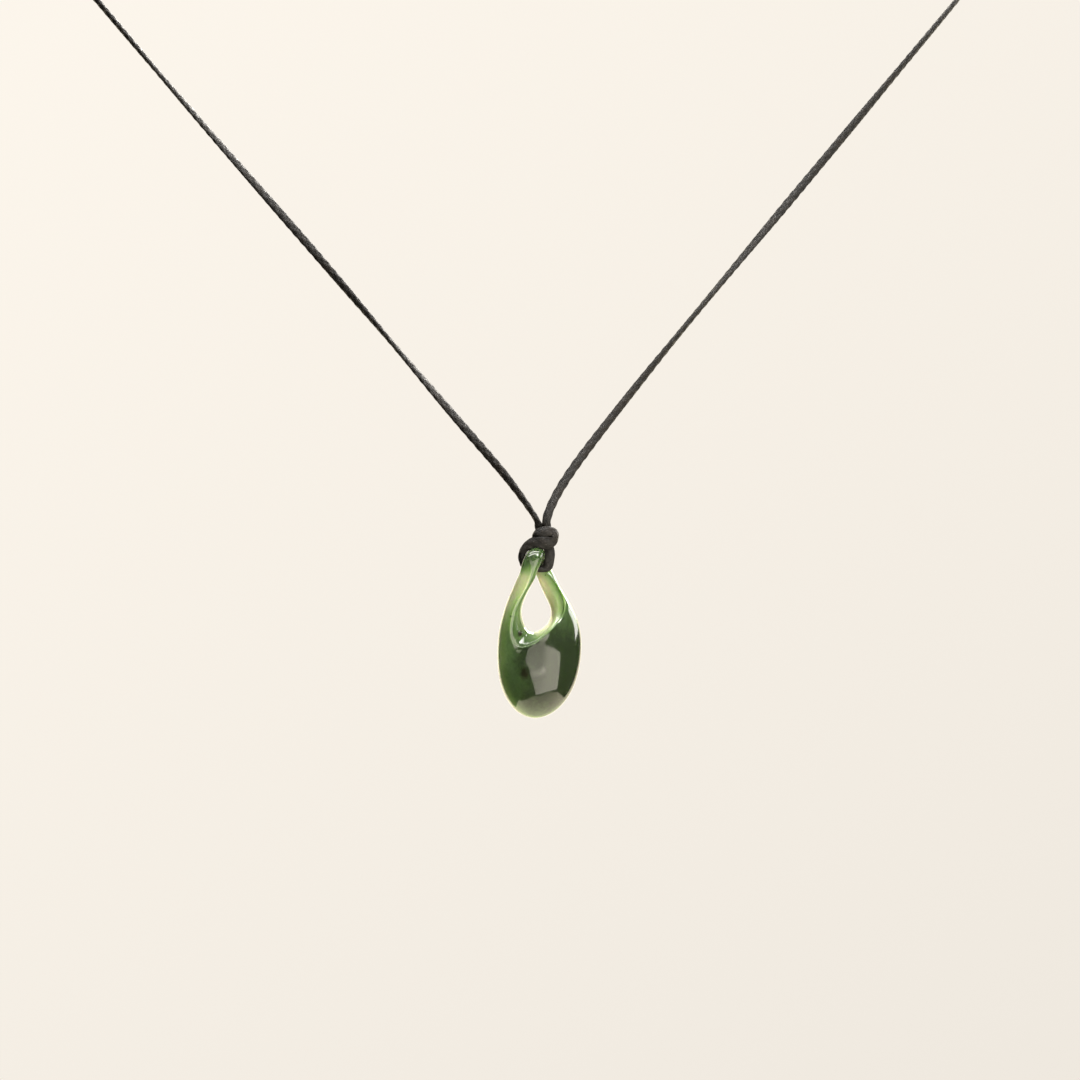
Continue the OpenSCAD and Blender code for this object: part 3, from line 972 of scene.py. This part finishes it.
class PENDANT_OT_stage(bpy.types.Operator):
    """Sets the pale floor and backdrop, the soft lights and the camera"""

    bl_idname = "pendant.stage"
    bl_label = "Set the stage"

    def execute(self, context):
        settings = context.scene.pendant_stage
        self.camera(context, settings)
        self.room(context, settings)
        self.softbox(settings)
        self.lights(settings)
        context.scene.view_settings.view_transform = "Standard"
        return {"FINISHED"}

    def camera(self, context, settings):
        """A level camera that looks straight at the pendant."""
        data = bpy.data.cameras.new("camera")
        data.lens = settings.lens
        data.sensor_width = 36
        data.clip_start = 0.01
        data.clip_end = 50
        camera = new_object("camera", data)
        camera.location = CAMERA_PLACE
        camera.rotation_euler = (math.pi / 2, 0, 0)
        context.scene.camera = camera

    def room(self, context, settings):
        """A floor that curves up into a round backdrop, and the world beyond it."""
        profile = [(r, FLOOR_Z) for r in (0.4, 0.8, 1.2, FLOOR_RADIUS)]
        profile += [
            (FLOOR_RADIUS + BEND_RADIUS * math.sin(a), FLOOR_Z + BEND_RADIUS * (1 - math.cos(a)))
            for a in np.radians(np.arange(10, 91, 10))]
        profile += [(FLOOR_RADIUS + BEND_RADIUS, z) for z in (0.2, 0.8, 1.5, 2.2)]
        sides = BACKDROP_SIDES
        angles = [2 * math.pi * k / sides for k in range(sides)]
        points = [(0, 0, FLOOR_Z)]
        for r, z in profile:
            points += [(r * math.sin(a), r * math.cos(a), z) for a in angles]
        faces = [(0, 1 + (k + 1) % sides, 1 + k) for k in range(sides)]
        for ring in range(len(profile) - 1):
            a, b = 1 + ring * sides, 1 + (ring + 1) * sides
            faces += [
                (a + k, a + (k + 1) % sides, b + (k + 1) % sides, b + k) for k in range(sides)]
        backdrop = new_mesh_object("backdrop", points, faces)
        backdrop.data.materials.append(self.backdrop_material(settings))
        world = bpy.data.worlds.new("studio")
        context.scene.world = world
        s = empty_sheet(world)
        seen = s.node("ShaderNodeBackground", {"Color": opaque(settings.backdrop)})
        felt = s.node("ShaderNodeBackground", {
            "Color": opaque(ROOM_COLOUR), "Strength": ROOM_LIGHT})
        s.node("ShaderNodeOutputWorld", {"Surface": self.seen_or_felt(s, seen, felt)})

    def seen_or_felt(self, s, seen, felt):
        """What the camera sees is one shader, and what lights the pendant another."""
        made = s.node("ShaderNodeMixShader", {
            0: s.node("ShaderNodeLightPath").outputs["Is Camera Ray"],
            1: felt.outputs[0], 2: seen.outputs[0]})
        return made.outputs[0]

    def backdrop_material(self, settings):
        material = bpy.data.materials.new("pale_backdrop")
        s = empty_sheet(material)
        where = s.node("ShaderNodeTexCoord").outputs["Object"]
        split = s.node("ShaderNodeSeparateXYZ", {"Vector": where}).outputs
        # Seen straight on it is even, with painted light a little brighter to the upper left
        slope = s.plus(s.times(split["X"], -0.05), s.times(split["Z"], 0.07))
        held = s.node("ShaderNodeClamp", {"Value": slope, "Min": -0.12, "Max": 0.05})
        tone = s.plus(1.0, held.outputs[0])
        seen = s.node("ShaderNodeEmission", {"Color": s.scaled(tuple(settings.backdrop), tone)})
        # Seen from the stone, a lit sweep of paper lies under it and stands behind it
        strength = s.plus(settings.dim, s.times(self.sweep(s, split), settings.backlight))
        felt = s.node("ShaderNodeEmission", {
            "Color": opaque(PAPER_COLOUR), "Strength": strength})
        s.node("ShaderNodeOutputMaterial", {"Surface": self.seen_or_felt(s, seen, felt)})
        return material

    def sweep(self, s, split):
        """Mask of the lit paper, from the direction in which the stone sees each point."""
        x, y, z = (s.minus(split[axis], float(at)) for axis, at in zip("XYZ", LIT_POINT))
        far = s.math("MAXIMUM", s.math("MAXIMUM", y, s.times(z, -1.0)), 0.01)
        side, front = s.over(x, far), s.over(y, far)
        inside = s.minus(SWEEP_TOP, s.over(z, far))
        for across, along, edge in SWEEP_EDGES:
            space = s.plus(s.times(side, across), s.times(front, along))
            inside = s.math("MINIMUM", inside, s.plus(space, edge))
        brighter_behind = map_range(s, front, -0.75, 0.2, 0.75, 1.6, "LINEAR")
        return s.times(map_range(s, inside, 0.0, SWEEP_SOFT), brighter_behind)

    def softbox(self, settings):
        """A bright panel behind the camera, which the body of the stone mirrors."""
        points = [
            (LIT_POINT + LIGHT_FAR * toward(*corner)).tolist()
            for corner in (SOFTBOX_MIDDLE, *SOFTBOX)]
        count = len(SOFTBOX)
        faces = [(0, 1 + i, 1 + (i + 1) % count) for i in range(count)]
        panel = new_mesh_object("softbox", points, faces)
        material = bpy.data.materials.new("softbox_glow")
        s = empty_sheet(material)
        where = s.node("ShaderNodeTexCoord").outputs["Object"]
        far = s.vector("DISTANCE", where, tuple(LIT_POINT + LIGHT_FAR * toward(*HOT_SPOT)))
        across = s.node("ShaderNodeSeparateXYZ", {"Vector": where}).outputs["X"]
        shade = map_range(s, across, -0.4, 0.45, 0.52, 1.0)
        hot = map_range(s, far, HOT_RADIUS, 0.0, 0.0, 0.75)
        glow = s.times(s.plus(shade, hot), settings.softbox)
        light = s.node("ShaderNodeEmission", {"Color": opaque(PANEL_COLOUR), "Strength": glow})
        s.node("ShaderNodeOutputMaterial", {"Surface": light.outputs[0]})
        panel.data.materials.append(material)
        panel.visible_camera = False

    def lights(self, settings):
        """Plain area lights that face the stone."""
        for name, azimuth, elevation, width, height, setting, factor in LIGHTS:
            data = bpy.data.lights.new(name, "AREA")
            data.shape = "RECTANGLE"
            data.size, data.size_y = width, height
            data.energy = getattr(settings, setting) * factor * LIGHT_POWER * width * height
            data.color = LAMP_COLOUR
            light = new_object(name, data)
            way = toward(azimuth, elevation)
            light.location = LIT_POINT + LIGHT_FAR * way
            light.rotation_mode = "QUATERNION"
            light.rotation_quaternion = Vector(way).to_track_quat("Z", "Y")
            light.visible_camera = False


class PENDANT_OT_neck_cord(bpy.types.Operator):
    """Lays the braided cord from the hitch round the nape and back"""

    bl_idname = "pendant.neck_cord"
    bl_label = "Lay the neck cord"

    def execute(self, context):
        settings = context.scene.pendant_cord
        plait, start = loop_plait(settings)
        u, along = even_stations(HITCH_END, len(LOOP), NECK_STEP)
        points = loop_point(u)
        at, turns = zip(*CORD_TURNS)
        facing = turned_facing(points, np.interp(along, at, turns))
        waves = np.sin(along * WIDTH_WAVES[0]) * np.sin(along * WIDTH_WAVES[1])
        wide = settings.width / 2 * (1 + WIDTH_VARIES * waves)
        thick = settings.thickness / 2 * (1 + THICKNESS_VARIES * np.sin(along * THICKNESS_WAVE + 1))
        cord = braid("neck_cord_braid", points, facing, along + start, wide, thick,
                     CORD_SIDES, plait, settings.relief)
        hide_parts("neck_cord")
        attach(cord, "cord")
        return {"FINISHED"}


class PENDANT_OT_front_hitch(bpy.types.Operator):
    """Ties the hitch that holds the stone under its bridge"""

    bl_idname = "pendant.front_hitch"
    bl_label = "Tie the hitch"

    def execute(self, context):
        settings = context.scene.pendant_cord
        u, along = even_stations(0, HITCH_END, HITCH_STEP)
        points = loop_point(u)
        # Both ends meet the neck cord with its size and its turn
        size = (settings.width / MM, settings.thickness / MM)
        turns = [CORD_TURNS[-1][1]] * 2 + [CORD_TURNS[0][1]] * 2
        ends = turned_facing(points[[0, 1, -2, -1]], np.array(turns))
        table = [(0, *size, ends[0]), *HITCH_STRAND, (HITCH_END, *size, ends[3])]
        at = [row[0] for row in table]
        wide, thick = (np.interp(u, at, [row[k] for row in table]) * MM / 2 for k in (1, 2))
        facing = np.array([row[3] for row in table], float)
        facing = np.stack([np.interp(u, at, facing[:, k]) for k in range(3)], 1)
        plait, _ = loop_plait(settings)
        knot = braid("front_knot_braid", points, facing, along, wide, thick,
                     HITCH_SIDES, plait, settings.relief * HITCH_RELIEF)
        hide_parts("front_knot")
        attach(knot, "cord")
        return {"FINISHED"}


class PENDANT_OT_closing_knot(bpy.types.Operator):
    """Winds the knot that closes the cord at the nape"""

    bl_idname = "pendant.closing_knot"
    bl_label = "Wind the closing knot"

    def execute(self, context):
        settings = context.scene.pendant_cord
        share = np.linspace(0, 1, KNOT_POINTS)
        angle = share * KNOT_TURNS * 2 * math.pi
        out = np.stack([np.zeros_like(share), np.sin(angle), np.cos(angle)], 1)
        points = KNOT_RADIUS * out
        points[:, 0] = (share - 0.5) * KNOT_LENGTH
        along = share * math.hypot(KNOT_TURNS * 2 * math.pi * KNOT_RADIUS, KNOT_LENGTH)
        end = smoothstep(np.minimum(along, along[-1] - along) / KNOT_TAPER)
        size = KNOT_TIP + (1 - KNOT_TIP) * np.sqrt(end)
        knot = braid("closing_knot_braid", points, out, along, KNOT_HALF_WIDTH * size,
                     KNOT_HALF_THICK * size, CORD_SIDES, settings.plait, settings.relief)
        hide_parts("closing_knot")
        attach(knot, "cord")
        return {"FINISHED"}


class PENDANT_OT_declare_cord(bpy.types.Operator):
    bl_idname = "pendant.declare_cord"
    bl_label = "Declare the cord"

    def execute(self, context):
        return {"FINISHED"}


class PENDANT_OT_stone(bpy.types.Operator):
    """Carves the twisted stone and gives it its polish"""

    bl_idname = "pendant.stone"
    bl_label = "Carve the stone"

    def execute(self, context):
        settings = context.scene.pendant_stone
        points, tone = stone_points(settings.belly / MM, settings.edge / MM)
        faces = ring_faces(RINGS, 4 * QUARTER)
        tone = paint_shine_through(tone, points, faces)
        points = points.reshape(-1, 3) * MM + STONE_FOOT
        stone = new_mesh_object("greenstone", points.tolist(), faces.tolist())
        data = stone.data.attributes.new("tone", "FLOAT", "POINT").data
        data.foreach_set("value", np.ascontiguousarray(tone, float).ravel())
        stone.data.materials.append(stone_material())
        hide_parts("greenstone_twist")
        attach(stone, "stone")
        return {"FINISHED"}


class PENDANT_PT_panel(bpy.types.Panel):
    """Lists the pieces of the pendant and their settings"""

    bl_idname = "PENDANT_PT_panel"
    bl_label = "Greenstone Pendant"
    bl_space_type = "VIEW_3D"
    bl_region_type = "UI"
    bl_category = "Pendant"

    def draw(self, context):
        scene = context.scene
        for title, settings, operators in (
            ("Stage", scene.pendant_stage, ("pendant.stage",)),
            ("Cord", scene.pendant_cord, (
                "pendant.neck_cord", "pendant.front_hitch", "pendant.closing_knot",
                "pendant.declare_cord")),
            ("Stone", scene.pendant_stone, ("pendant.stone",)),
        ):
            box = self.layout.box()
            box.label(text=title)
            for key in settings.__annotations__:
                box.prop(settings, key)
            for operator in operators:
                box.operator(operator)


CLASSES = (
    CordSettings,
    StoneSettings,
    StageSettings,
    PENDANT_OT_stage,
    PENDANT_OT_neck_cord,
    PENDANT_OT_front_hitch,
    PENDANT_OT_closing_knot,
    PENDANT_OT_declare_cord,
    PENDANT_OT_stone,
    PENDANT_PT_panel,
)


def register():
    for cls in CLASSES:
        bpy.utils.register_class(cls)
    bpy.types.Scene.pendant_cord = PointerProperty(type=CordSettings)
    bpy.types.Scene.pendant_stone = PointerProperty(type=StoneSettings)
    bpy.types.Scene.pendant_stage = PointerProperty(type=StageSettings)


def unregister():
    del bpy.types.Scene.pendant_stage
    del bpy.types.Scene.pendant_stone
    del bpy.types.Scene.pendant_cord
    for cls in reversed(CLASSES):
        bpy.utils.unregister_class(cls)


def main():
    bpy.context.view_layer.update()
    register()
    bpy.ops.pendant.stage()
    bpy.ops.pendant.neck_cord()
    bpy.ops.pendant.front_hitch()
    bpy.ops.pendant.closing_knot()
    bpy.ops.pendant.declare_cord()
    bpy.ops.pendant.stone()


if __name__ == "__main__":
    main()
